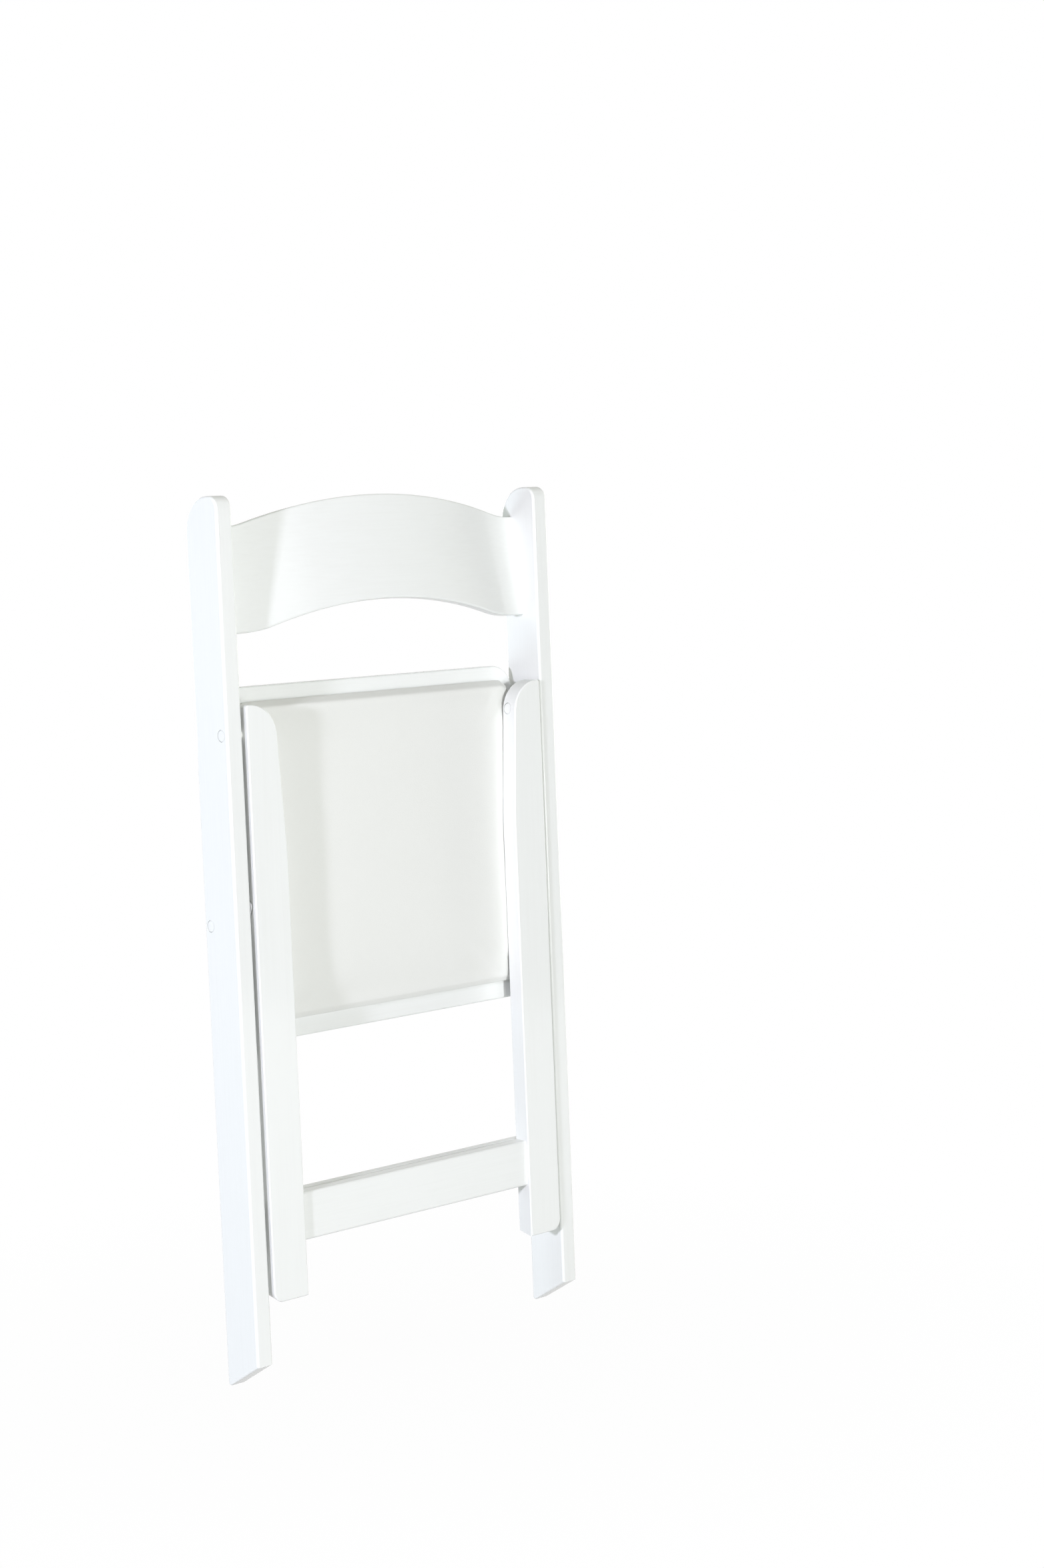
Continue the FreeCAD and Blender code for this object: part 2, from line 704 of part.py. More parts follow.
def build_seat_frame():
    """Four dowelled rails with the bushes and studs that the seat folds on."""
    ring = seat_ring()
    steps = (-seat_dowel_step, seat_dowel_step)
    joints = [(step, at) for at in (rail_low, rail_high) for step in steps]
    holes = [seat_dowel(step, at, dowel_radius + wood_fit) for step, at in joints]
    dowels = [seat_dowel(step, at, dowel_radius) for step, at in joints]
    all_holes = holes + [mirrored(hole) for hole in holes]
    reach = seat_out + overcut

    front = ring.common(seat_slab(-reach, reach, rail_high, seat_front_reach + overcut)).cut(all_holes)
    rear = ring.common(seat_slab(-reach, reach, -seat_rear_reach - overcut, rail_low)).cut(all_holes)
    side = ring.common(seat_slab(0, reach, rail_low, rail_high)).cut(holes)
    bush_end = seat_out - seat_bolt_reach - bush_margin - seat_bush_wall
    bush_hole = rod(bush_radius + wood_fit, bush_end, reach, 0, 0)
    screws = [pad_screw(x, z, 0) for x, z in screw_places()]
    screw_holes = [pad_screw(x, z, wood_fit) for x, z in screw_places()]
    side = side.cut([bush_hole, seat_stud(stud_radius + wood_fit, reach)] + screw_holes)
    stud = seat_stud(stud_radius, link_inner - open_pivot_play)

    save(in_seat_place(front), "seat_front_rail")
    save(in_seat_place(rear), "seat_rear_rail")
    save(in_seat_place(side), "seat_right_rail")
    save(mirrored(in_seat_place(side)), "seat_left_rail")
    save(in_seat_place(Part.Compound(dowels + [mirrored(dowel) for dowel in dowels])), "seat_rail_dowels")
    save(both_sides(in_seat_place(seat_bush())), "seat_pivot_bushes")
    save(both_sides(in_seat_place(stud)), "link_studs")
    save(in_seat_place(Part.Compound(screws + [mirrored(screw) for screw in screws])), "pad_screws")
    return screw_holes + [mirrored(hole) for hole in screw_holes]


def build_pad(screw_holes):
    """The upholstered pad: a board, its foam and a cover stapled round the board's underside."""
    slots = round_the_pad(Part.Compound(staple_legs(wood_fit)))
    outer = pad_form(0, 0)
    board_top = cover_thickness + board_thickness
    cavity = pad_form(cover_thickness, cover_thickness)
    mouth = pad_plate(cover_flange, 0, cover_thickness + pad_play)
    cover = outer.cut([cavity, mouth]).cut(slots)
    board_inset = cover_thickness + pad_draw_in + pad_play
    board = pad_plate(board_inset, cover_thickness, board_top).cut(slots + screw_holes)
    foam = pad_form(cover_thickness + pad_play, cover_thickness)
    foam = foam.cut(pad_plate(-pad_draw_in, 0, board_top + pad_play))

    save(in_seat_place(cover), "pad_cover")
    save(in_seat_place(foam), "pad_foam")
    save(in_seat_place(board), "pad_board")
    save(in_seat_place(Part.Compound(round_the_pad(staple()))), "pad_staples")


def build_links():
    """The two folding links and the rivets at their lower ends."""
    link = right_link()
    save(link, "right_link")
    save(mirrored(link), "left_link")
    save(both_sides(link_pin()), "link_pins")


os.makedirs("parts", exist_ok=True)
build_back_frame()
build_rear_legs()
build_pad(build_seat_frame())
build_links()
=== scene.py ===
# %% [markdown]
# # A white folding chair, folded flat
# The chair is two long posts with a bowed slat, two rear legs, a stretcher for each pair, and a padded seat
# frame that folds up between them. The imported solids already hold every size, so this lesson only dresses
# them: paint, vinyl, plywood and steel, a soft cushion, and small parts such as plugs and screws.
# Everything is in metres, in the chair's own frame: +X across, +Y the way a sitter faces, +Z up.

# %% Load the frame
import json
import math

import bmesh
import bpy
from mathutils import Matrix, Vector


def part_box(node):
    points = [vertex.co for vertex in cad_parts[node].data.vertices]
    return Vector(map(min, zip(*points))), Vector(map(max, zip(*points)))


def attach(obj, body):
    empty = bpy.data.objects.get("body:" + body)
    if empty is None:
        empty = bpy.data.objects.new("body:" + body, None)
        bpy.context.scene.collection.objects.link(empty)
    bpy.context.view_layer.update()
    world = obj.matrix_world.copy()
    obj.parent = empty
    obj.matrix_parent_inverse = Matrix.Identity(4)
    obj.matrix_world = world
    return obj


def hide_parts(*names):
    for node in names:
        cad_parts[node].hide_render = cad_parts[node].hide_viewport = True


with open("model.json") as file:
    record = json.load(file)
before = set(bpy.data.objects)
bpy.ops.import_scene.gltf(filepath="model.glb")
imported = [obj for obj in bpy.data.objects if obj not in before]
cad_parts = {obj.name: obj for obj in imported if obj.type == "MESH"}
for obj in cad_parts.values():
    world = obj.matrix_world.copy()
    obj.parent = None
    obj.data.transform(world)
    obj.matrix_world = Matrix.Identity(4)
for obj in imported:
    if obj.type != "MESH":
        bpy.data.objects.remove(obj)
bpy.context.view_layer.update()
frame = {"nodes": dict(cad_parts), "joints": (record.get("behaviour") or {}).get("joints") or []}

nodes = frame["nodes"]

# %% [markdown]
# ## The camera
# The picture was taken with a long lens from the cushion's side, a little to the left of the chair and
# about as high as its slat, with the camera turned slightly about its own axis. A camera can be aimed
# with a Track To constraint, but that gives no roll, so its axes are written out instead: Blender's
# camera looks along its own -Z, with +X to the right and +Y up.

# %% Camera
camera_eye = Vector((-1.87655, -2.30964, 0.85887))
camera_forward = Vector((0.6648, 0.7416, -0.0900)).normalized()
camera_right = Vector((0.7416, -0.6696, -0.0399))
camera_lens_mm = 65.618

camera_right = (camera_right - camera_forward * camera_right.dot(camera_forward)).normalized()
camera_up = camera_right.cross(camera_forward)
camera_turn = Matrix((camera_right, camera_up, -camera_forward)).transposed()
camera = bpy.data.objects.new("camera", bpy.data.cameras.new("camera"))
camera.matrix_world = Matrix.Translation(camera_eye) @ camera_turn.to_4x4()
camera.data.lens = camera_lens_mm
bpy.context.scene.collection.objects.link(camera)
bpy.context.scene.camera = camera
bpy.context.scene.view_settings.view_transform = "Standard"

# %% [markdown]
# ## Writing node trees as expressions
# A finish is a tree of nodes. Linking them by hand takes many lines, so one small class wraps a socket:
# sums and products of wrapped sockets add Math nodes, and `make` adds any other node from its type, its
# settings and the values or links of its sockets. The same class builds the Geometry Nodes trees below.

# %% A wrapped socket
class Wire:
    """An output socket of a node tree, or the empty start of a tree."""

    def __init__(self, tree, socket=None):
        self.tree = tree
        self.socket = socket

    def make(self, kind, settings=None, sockets=None, out=0):
        """Adds a node, sets it up and returns one of its outputs."""
        node = self.tree.nodes.new(kind)
        for name, value in (settings or {}).items():
            if name == "stops":
                set_ramp(node.color_ramp, value)
            else:
                setattr(node, name, value)
        for key, value in (sockets or {}).items():
            target = find_socket(node.inputs, key)
            if isinstance(value, Wire):
                self.tree.links.new(value.socket, target)
            else:
                target.default_value = value
        return Wire(self.tree, find_socket(node.outputs, out)) if len(node.outputs) else node

    def math(self, operation, first, second):
        return self.make("ShaderNodeMath", {"operation": operation}, {0: first, 1: second})

    def __add__(self, other):
        return self.math("ADD", self, other)

    def __sub__(self, other):
        return self.math("SUBTRACT", self, other)

    def __rsub__(self, other):
        return self.math("SUBTRACT", other, self)

    def __mul__(self, other):
        return self.math("MULTIPLY", self, other)

    def __truediv__(self, other):
        return self.math("DIVIDE", self, other)

    __radd__ = __add__
    __rmul__ = __mul__


def find_socket(sockets, key):
    """A socket by number, by identifier or by name."""
    if isinstance(key, int):
        return sockets[key]
    named = [socket for socket in sockets if socket.identifier == key]
    return named[0] if named else sockets[key]


def set_ramp(ramp, stops):
    """Gives a colour ramp its stops, as pairs of place and grey level."""
    while len(ramp.elements) < len(stops):
        ramp.elements.new(1.0)
    for element, (place, level) in zip(ramp.elements, stops):
        element.position = place
        element.color = (level, level, level, 1.0)


def new_finish(name):
    """An empty material: the start of its tree, its shader and its output."""
    material = bpy.data.materials.new(name)
    material.use_nodes = True
    material.node_tree.nodes.clear()
    start = Wire(material.node_tree)
    shader = start.make("ShaderNodeBsdfPrincipled")
    start.make("ShaderNodeOutputMaterial", None, {"Surface": shader})
    return material, start, shader.socket.node


def connect(shader, name, wire):
    """Feeds one of a shader's sockets with a value that varies over the surface."""
    wire.tree.links.new(wire.socket, shader.inputs[name])


def set_constants(shader, **values):
    """Sets sockets that are the same all over, named with _ for a space."""
    for name, value in values.items():
        shader.inputs[name.replace("_", " ")].default_value = value


def noise(start, vector, scale, detail=2.0, roughness=0.5):
    """Soft noise of about one blob per 1 / scale metres."""
    sockets = {"Vector": vector, "Scale": scale, "Detail": detail, "Roughness": roughness}
    return start.make("ShaderNodeTexNoise", None, sockets)


def stretched(start, place, scale):
    """Coordinates scaled differently along each axis, which draws noise out into streaks."""
    return start.make("ShaderNodeMapping", None, {"Vector": place, "Scale": scale})


def mixed(start, factor, first, second):
    """A colour between two others."""
    sockets = {"Factor_Float": factor, "A_Color": (*first, 1.0), "B_Color": (*second, 1.0)}
    return start.make("ShaderNodeMix", {"data_type": "RGBA"}, sockets, out="Result_Color")


def bump(start, height, depth):
    """A normal that follows a height, given the real depth of that height in metres."""
    return start.make("ShaderNodeBump", None, {"Height": height, "Distance": depth, "Strength": 1.0})


def rise_between(start, factor, low, high):
    """0 below low, 1 above high, and a straight rise between them."""
    return start.make("ShaderNodeValToRGB", {"stops": [(low, 0.0), (high, 1.0)]}, {"Fac": factor})


print("tree helpers ready")

# %% [markdown]
# ## White lacquer
# The wood is sprayed with a white satin lacquer. It is smooth, but not flat: long grain shows faintly
# through it, spray leaves a fine orange peel, and the gloss varies a little from place to place. Long
# noise along the board gives the grain, so each board needs the direction that its own wood runs in.
# Feet also get rubbed, so their edges carry a few small scuffs, set by height above the foot.

# %% Paint
paint_white = (0.862, 0.875, 0.868)
paint_thin = (0.832, 0.842, 0.832)
scuff_brown = (0.36, 0.31, 0.25)
grain_across = 420.0
grain_along = 11.0
peel_scale = 540.0
cloud_scale = 7.0
speck_scale = 330.0
paint_relief = 0.000014
foot_rub_height = 0.012


def white_lacquer(name, grain_axis, foot_height=None):
    """Satin white paint over wood whose grain runs along the given axis, 0 for X and 2 for Z."""
    material, start, shader = new_finish(name)
    place = start.make("ShaderNodeTexCoord", out="Object")
    streak = [grain_across] * 3
    streak[grain_axis] = grain_along
    grain = noise(start, stretched(start, place, streak), 1.0, 4.0, 0.6)
    peel = noise(start, place, peel_scale)
    cloud = noise(start, place, cloud_scale)
    thin = rise_between(start, grain * 0.6 + cloud * 0.4, 0.45, 0.85)
    colour = mixed(start, thin, paint_white, paint_thin)
    if foot_height is not None:
        colour = scuffed(start, place, colour, foot_height)
    connect(shader, "Base Color", colour)
    connect(shader, "Roughness", 0.07 + cloud * 0.08 + grain * 0.03)
    connect(shader, "Normal", bump(start, grain * 0.5 + peel * 0.5, paint_relief))
    set_constants(shader, IOR=1.5)
    return material


def scuffed(start, place, colour, foot_height):
    """Small worn specks within a short way of a foot's edge."""
    height = start.make("ShaderNodeSeparateXYZ", None, {"Vector": place}, out="Z")
    near = start.make("ShaderNodeMapRange", None, {
        "Value": height, "From Min": foot_height, "From Max": foot_height + foot_rub_height,
        "To Min": 1.0, "To Max": 0.0})
    specks = noise(start, place, speck_scale, 3.0, 0.7)
    worn = rise_between(start, specks * 0.75 + near * 0.4, 0.86, 0.93)
    sockets = {"Factor_Float": worn * near, "A_Color": colour, "B_Color": (*scuff_brown, 1.0)}
    return start.make("ShaderNodeMix", {"data_type": "RGBA"}, sockets, out="Result_Color")


def paint(material, *names):
    """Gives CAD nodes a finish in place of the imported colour."""
    for name in names:
        nodes[name].data.materials.clear()
        nodes[name].data.materials.append(material)


along_x, along_z = 0, 2
post_paint = white_lacquer("post_paint", along_z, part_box("left_post")[0].z)
leg_paint = white_lacquer("leg_paint", along_z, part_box("left_leg")[0].z)
side_rail_paint = white_lacquer("side_rail_paint", along_z)
cross_rail_paint = white_lacquer("cross_rail_paint", along_x)
paint(post_paint, "left_post", "right_post")
paint(leg_paint, "left_leg", "right_leg")
paint(side_rail_paint, "seat_left_rail", "seat_right_rail")
paint(cross_rail_paint, "back_slat", "front_stretcher", "rear_stretcher")
paint(cross_rail_paint, "seat_front_rail", "seat_rear_rail")
print("painted boards", [name for name in nodes if "paint" in nodes[name].data.materials[0].name])

# %% [markdown]
# ## Steel, nylon, plywood and dowels
# Bolts, links and screws are zinc plated, which is a dull metal with a faint cloudy gloss. The washers
# are moulded nylon. The board under the cushion is plain plywood: long brown fibres on its face and thin
# layers at its edge. Most of this is seen only from behind or through gaps, but each has its own finish.

# %% Hardware and board finishes
zinc_dark, zinc_pale = (0.60, 0.61, 0.62), (0.76, 0.76, 0.74)
zinc_cloud_scale = 260.0
zinc_line_scale = (2600.0, 300.0, 300.0)
zinc_relief = 0.00002
nylon_grey, nylon_pale = (0.80, 0.80, 0.77), (0.86, 0.86, 0.84)
nylon_cloud_scale = 180.0
nylon_grain_scale = 1500.0
nylon_relief = 0.00003
fibre_across, fibre_along = 620.0, 16.0
ring_across, ring_along = 46.0, 2.2
rings_per_noise = 9.0
fibre_relief = 0.00012


def zinc_plate():
    material, start, shader = new_finish("zinc_plate")
    place = start.make("ShaderNodeTexCoord", out="Object")
    cloud = noise(start, place, zinc_cloud_scale, 3.0)
    lines = noise(start, stretched(start, place, zinc_line_scale), 1.0)
    connect(shader, "Base Color", mixed(start, cloud, zinc_dark, zinc_pale))
    connect(shader, "Roughness", 0.26 + cloud * 0.16 + lines * 0.06)
    connect(shader, "Normal", bump(start, lines, zinc_relief))
    set_constants(shader, Metallic=1.0)
    return material


def white_nylon():
    material, start, shader = new_finish("white_nylon")
    place = start.make("ShaderNodeTexCoord", out="Object")
    cloud = noise(start, place, nylon_cloud_scale)
    connect(shader, "Base Color", mixed(start, cloud, nylon_grey, nylon_pale))
    connect(shader, "Roughness", 0.42 + cloud * 0.12)
    connect(shader, "Normal", bump(start, noise(start, place, nylon_grain_scale), nylon_relief))
    return material


def bare_wood(name, pale, dark, grain_axis):
    """Unpainted wood with fibres along one axis."""
    material, start, shader = new_finish(name)
    place = start.make("ShaderNodeTexCoord", out="Object")
    fibre_scale = [fibre_across] * 3
    fibre_scale[grain_axis] = fibre_along
    ring_scale = [ring_across] * 3
    ring_scale[grain_axis] = ring_along
    fibres = noise(start, stretched(start, place, fibre_scale), 1.0, 4.0, 0.65)
    rings = noise(start, stretched(start, place, ring_scale), 1.0, 3.0)
    bands = start.make("ShaderNodeMath", {"operation": "PINGPONG"}, {0: rings * rings_per_noise, 1: 1.0})
    tone = rise_between(start, bands * 0.45 + fibres * 0.55, 0.2, 0.9)
    connect(shader, "Base Color", mixed(start, tone, dark, pale))
    connect(shader, "Roughness", 0.62 + fibres * 0.2)
    connect(shader, "Normal", bump(start, fibres, fibre_relief))
    return material


steel = zinc_plate()
plywood = bare_wood("plywood", (0.66, 0.49, 0.30), (0.50, 0.34, 0.19), along_x)
beech = bare_wood("beech", (0.72, 0.54, 0.36), (0.58, 0.40, 0.25), along_x)
paint(steel, "leg_pivot_bolts", "seat_pivot_bolts", "leg_pivot_nuts", "link_rivets", "seat_pivot_bushes",
      "link_studs", "pad_staples", "pad_screws", "left_link", "right_link", "link_pins")
paint(white_nylon(), "leg_pivot_washers", "seat_pivot_washers")
paint(plywood, "pad_board")
paint(beech, "slat_dowels", "front_stretcher_dowels", "rear_stretcher_dowels", "seat_rail_dowels")
print("finishes", len(bpy.data.materials))

# %% [markdown]
# ## White vinyl
# The cushion's cover is a smooth white vinyl, more matt than the paint and very slightly greener. Up close
# it has a pressed leather grain of cells about a millimetre wide. A Voronoi texture gives the cells, and
# their height goes through a Bump node because they are far too fine to model. The grooves between the
# cells are also painted a little greyer, which is painted shade, and a soft cloud varies the tone.

# %% Vinyl
vinyl_white = (0.812, 0.818, 0.800)
vinyl_grey_and_groove_shade = (0.785, 0.790, 0.770)
grain_cell = 1.1e-3
vinyl_cloud_scale = 14.0
crease_scale = 240.0
vinyl_relief = 0.00008


def white_vinyl():
    material, start, shader = new_finish("white_vinyl")
    place = start.make("ShaderNodeTexCoord", out="Object")
    cells = start.make("ShaderNodeTexVoronoi", {"feature": "SMOOTH_F1"},
                       {"Vector": place, "Scale": 1 / grain_cell, "Smoothness": 0.6})
    cloud = noise(start, place, vinyl_cloud_scale)
    creases = noise(start, place, crease_scale, 3.0)
    # The grey half of this mix follows the cell distance, which peaks in the grain's grooves, so it paints
    # shade into them; the cloud half is uneven tone.
    connect(shader, "Base Color", mixed(start, cloud * 0.5 + cells * 0.5, vinyl_white, vinyl_grey_and_groove_shade))
    connect(shader, "Roughness", 0.44 + cloud * 0.08 + cells * 0.08)
    connect(shader, "Normal", bump(start, 1.0 - cells * 0.8 - creases * 0.2, vinyl_relief))
    set_constants(shader, Sheen_Weight=0.05)
    return material


vinyl = white_vinyl()
paint(vinyl, "pad_cover", "pad_foam")
print("vinyl cells", grain_cell * 1000, "mm")

# %% [markdown]
# ## The cushion
# The pad is foam on a board under a stretched cover, so it is flat in the middle and rolls over at its
# edges, with slight waves where the staples pull. The solid in the frame gives its size in the seat's own
# axes. A smaller pad is drawn as rings of that outline and remeshed into even squares, then Blender's
# cloth simulation blows it up with its underside held still, which rounds it as a stuffed cover would.
# The cover is then raised towards the front rail and held just off the rear legs that press into it.
# The underside is opened afterwards, because the board shows through the seat frame from below.

# %% The seat's own axes
seat_tilt = math.radians(2.0)
seat_pivot = Vector(next(j["pos_m"] for j in frame["joints"] if j["name"] == "seat_fold"))
seat_axes = Matrix.Translation(seat_pivot) @ Matrix.Rotation(-seat_tilt, 4, "X")


def box_in_seat(name):
    """Lowest and highest corner of a CAD node in the seat's axes."""
    points = [seat_axes.inverted() @ vertex.co for vertex in nodes[name].data.vertices]
    return (Vector([min(p[i] for p in points) for i in range(3)]),
            Vector([max(p[i] for p in points) for i in range(3)]))


pad_low, pad_high = box_in_seat("pad_cover")
pad_base = pad_high.y
pad_height = pad_high.y - pad_low.y
pad_middle = (pad_low.z + pad_high.z) / 2
pad_half_width = pad_high.x
pad_half_length = (pad_high.z - pad_low.z) / 2
print("pad", [round(1000 * v, 1) for v in (2 * pad_half_width, 2 * pad_half_length, pad_height)], "mm")

# %% Rings of the unfilled pad
pad_corner = 0.018
ring_points = 288
rolled_edge = [(0.000, 0.0012), (0.003, 0.0006), (0.006, 0.0004),
               (0.008, 0.0016), (0.0094, 0.0046), (0.010, 0.0095)]
crown_rings = [0.14, 0.3, 0.5, 0.7, 0.88]
crown_rise = 0.0016
square_size = 0.004


def rounded_outline(inset):
    """Evenly spaced points round the pad's outline, drawn in by inset, from the middle of its rear side."""
    half_x = pad_half_width - inset
    half_z = pad_half_length - inset
    radius = min(pad_corner + inset / 2, 0.8 * min(half_x, half_z))
    corner = radius * math.pi / 2
    run_x = half_x - radius
    run_z = half_z - radius
    quarter = run_x + corner + run_z
    points = []
    for i in range(ring_points):
        turn, along = divmod(i / ring_points * 4 * quarter, 2 * quarter)
        first_half = along < quarter
        along = along if first_half else 2 * quarter - along
        if along < run_x:
            x, z = along, -half_z
        elif along < run_x + corner:
            angle = (along - run_x) / radius
            x, z = run_x + radius * math.sin(angle), -run_z - radius * math.cos(angle)
        else:
            x, z = half_x, along - quarter
        z = z if first_half else -z
        points.append((-x, -z) if turn else (x, z))
    return points


def unfilled_pad():
    """A closed mesh of the pad before it is filled, in the seat's axes."""
    mesh = bmesh.new()
    span = min(pad_half_width, pad_half_length)
    rings = list(rolled_edge)
    for share in crown_rings:
        rings.append((rolled_edge[-1][0] + crown_rise * math.sin(share * math.pi / 2), share * span))
    loops = []
    for height, inset in rings:
        places = [(x, pad_base - height, pad_middle + z) for x, z in rounded_outline(inset)]
        loops.append([mesh.verts.new(place) for place in places])
    for lower, upper in zip(loops, loops[1:]):
        for i in range(ring_points):
            j = (i + 1) % ring_points
            mesh.faces.new((lower[i], lower[j], upper[j], upper[i]))
    mesh.faces.new(loops[-1])
    mesh.faces.new(loops[0])
    bmesh.ops.recalc_face_normals(mesh, faces=mesh.faces)
    data = bpy.data.meshes.new("unfilled_pad")
    mesh.to_mesh(data)
    mesh.free()
    return data


def shown(name, data):
    """A new object at the origin with this mesh."""
    piece = bpy.data.objects.new(name, data)
    bpy.context.scene.collection.objects.link(piece)
    return piece


def settled(piece):
    """Replaces a piece's mesh with what its modifiers make of it, and removes them."""
    graph = bpy.context.evaluated_depsgraph_get()
    data = bpy.data.meshes.new_from_object(piece.evaluated_get(graph))
    piece.modifiers.clear()
    piece.data = data
    return piece


cushion = shown("seat_cushion", unfilled_pad())
remesh = cushion.modifiers.new("even_squares", "REMESH")
remesh.mode = "VOXEL"
remesh.voxel_size = square_size
settled(cushion)
print("unfilled pad", len(cushion.data.vertices), "points")

# %% Fill it
held_height = 0.0065
fill_pressure = 4.0
fill_frames = 20
swell_limit = 0.0044
swell_ease = 0.0032
slide_limit = 0.0008
edge_band = 0.0035
edge_tuck = 0.0010
staple_pull = 0.0004
staple_pitch = 0.055
front_swell = 0.0088
front_wall = 0.25
leg_room = 0.0004
leg_round = 0.0015
leg_crest = 0.0035
leg_taper_start = 0.545
leg_taper = 0.008
leg_head_round = 0.032
leg_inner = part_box("right_leg")[0].x
leg_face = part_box("right_leg")[1].y
leg_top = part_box("right_leg")[1].z


def fill(piece):
    """Blows the pad up with its underside and the board's height held, and returns how each point moves."""
    rest = [vertex.co.copy() for vertex in piece.data.vertices]
    held = piece.vertex_groups.new(name="held")
    held.add([i for i, p in enumerate(rest) if p.y > pad_base - held_height], 1.0, "REPLACE")
    cloth = piece.modifiers.new("filling", "CLOTH")
    cloth.settings.use_pressure = True
    cloth.settings.uniform_pressure_force = fill_pressure
    cloth.settings.vertex_group_mass = held.name
    cloth.settings.effector_weights.gravity = 0.0
    cloth.collision_settings.use_collision = False
    cloth.collision_settings.use_self_collision = False
    cloth.point_cache.frame_end = fill_frames
    for step in range(1, fill_frames + 1):
        bpy.context.scene.frame_set(step)
    settled(piece)
    piece.vertex_groups.clear()
    bpy.context.scene.frame_set(1)
    return [vertex.co - old for vertex, old in zip(piece.data.vertices, rest)], rest


def round_board(point):
    """Moves a point of the cover's side to where it wraps the board's edge, drawn in at each staple."""
    height = pad_base - point.y
    if height > held_height:
        return point
    pull = staple_pull * (1 + math.cos(2 * math.pi * (point.x + point.z) / staple_pitch))
    tuck = (edge_tuck + pull) * (1 - max(height, 0.0) / held_height)
    side = Vector((math.copysign(1.0, point.x), math.copysign(1.0, point.z - pad_middle)))
    past = Vector((abs(point.x) - pad_half_width + pad_corner,
                   abs(point.z - pad_middle) - pad_half_length + pad_corner))
    if min(past) < 0.0:
        past = Vector((max(past.x, 0.0), 0.0)) if past.x > past.y else Vector((0.0, max(past.y, 0.0)))
    short = pad_corner - past.length
    if past.length == 0.0 or not 0.0 < short < edge_band:
        return point
    step = past.normalized() * (short - tuck)
    return point + Vector((step.x * side.x, 0.0, step.y * side.y))


def thicker_in_front(point):
    """Raises the cover steadily towards the front rail, where the foam is thickest."""
    along = (point.z - pad_low.z) / (pad_high.z - pad_low.z)
    share = max(0.0, pad_base - point.y - held_height) / (pad_height - held_height)
    return point - Vector((0.0, front_swell * along * min(1.0, share / front_wall), 0.0))


def leg_edge(height):
    """How far the rear legs' inner edges are from the middle: straight, then tapered, then a round head."""
    taper = (height - leg_taper_start) / (leg_top - leg_taper_start)
    into_head = min(leg_head_round, max(0.0, height - leg_top + leg_head_round))
    curve = leg_head_round - math.sqrt(leg_head_round ** 2 - into_head ** 2)
    return leg_inner + leg_taper * min(1.0, max(0.0, taper)) + curve


def keep_clear_of_legs(point):
    """Holds a point of the folded pad just off the rear legs, whose rounded front edges press into it."""
    placed = seat_axes @ point
    inside = leg_edge(placed.z) + leg_round - abs(placed.x)
    reach = leg_round + leg_room
    limit = leg_face + leg_room
    if inside > 0.0:
        limit = leg_face - leg_round + math.sqrt(max(0.0, reach ** 2 - inside ** 2))
    if inside > reach:
        limit = leg_face - leg_crest
    placed.y = max(placed.y, limit)
    return seat_axes.inverted() @ placed


moves, rest = fill(cushion)
for vertex, old, move in zip(cushion.data.vertices, rest, moves):
    slide = Vector((move.x, 0.0, move.z))
    slide *= min(1.0, slide_limit / max(slide.length, 1e-9))
    rise = swell_limit * math.tanh(max(0.0, -move.y) / swell_ease)
    sink = min(slide_limit, max(0.0, move.y))
    moved = old + slide + Vector((0.0, sink - rise, 0.0))
    vertex.co = keep_clear_of_legs(thicker_in_front(round_board(moved)))
print("widest move", round(1000 * max(m.length for m in moves), 1), "mm, held to", swell_limit * 1000)
filled = [pad_base - vertex.co.y for vertex in cushion.data.vertices]
print("crown", round(1000 * max(filled), 2), "mm, packed solid", round(1000 * pad_height, 2), "mm")

# %% Open the underside and finish the cushion
flange_width = 0.016
cover_thickness = 0.001


def open_underside(piece):
    """Takes away the underside inside the turned-in edge, where the board sits."""
    mesh = bmesh.new()
    mesh.from_mesh(piece.data)
    mouth = []
    for face in mesh.faces:
        x, y, z = face.calc_center_median()
        inside = (abs(x) < pad_half_width - flange_width
                  and abs(z - pad_middle) < pad_half_length - flange_width)
        if inside and y > pad_base - cover_thickness:
            mouth.append(face)
    bmesh.ops.delete(mesh, geom=mouth, context="FACES")
    bmesh.ops.transform(mesh, matrix=seat_axes, verts=mesh.verts)
    mesh.to_mesh(piece.data)
    mesh.free()


open_underside(cushion)
finer = cushion.modifiers.new("finer", "SUBSURF")
finer.levels = 1
finer.render_levels = 1
skin = cushion.modifiers.new("skin", "SOLIDIFY")
skin.thickness = cover_thickness
skin.offset = -1.0
settled(cushion)
cushion.data.materials.clear()
cushion.data.materials.append(vinyl)
cushion.data.shade_smooth()
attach(cushion, "seat")
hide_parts("pad_cover", "pad_foam")
print("cushion", len(cushion.data.polygons), "faces")

# %% [markdown]
# ## Plugs
# Round wooden plugs close the pivot bolts' holes. Each is painted over with its post, but a fine groove
# still shows round it. All six are the same turned shape, so one Geometry Nodes tree makes the plug and
# sets a copy on every place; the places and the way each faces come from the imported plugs.

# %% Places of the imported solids
def solids_of(name, reach=0.03):
    """The vertices of each separate solid in a CAD node, told apart by distance."""
    groups = []
    for vertex in nodes[name].data.vertices:
        for group in groups:
            if (group[0] - vertex.co).length < reach:
                group.append(vertex.co)
                break
        else:
            groups.append([vertex.co])
    return groups


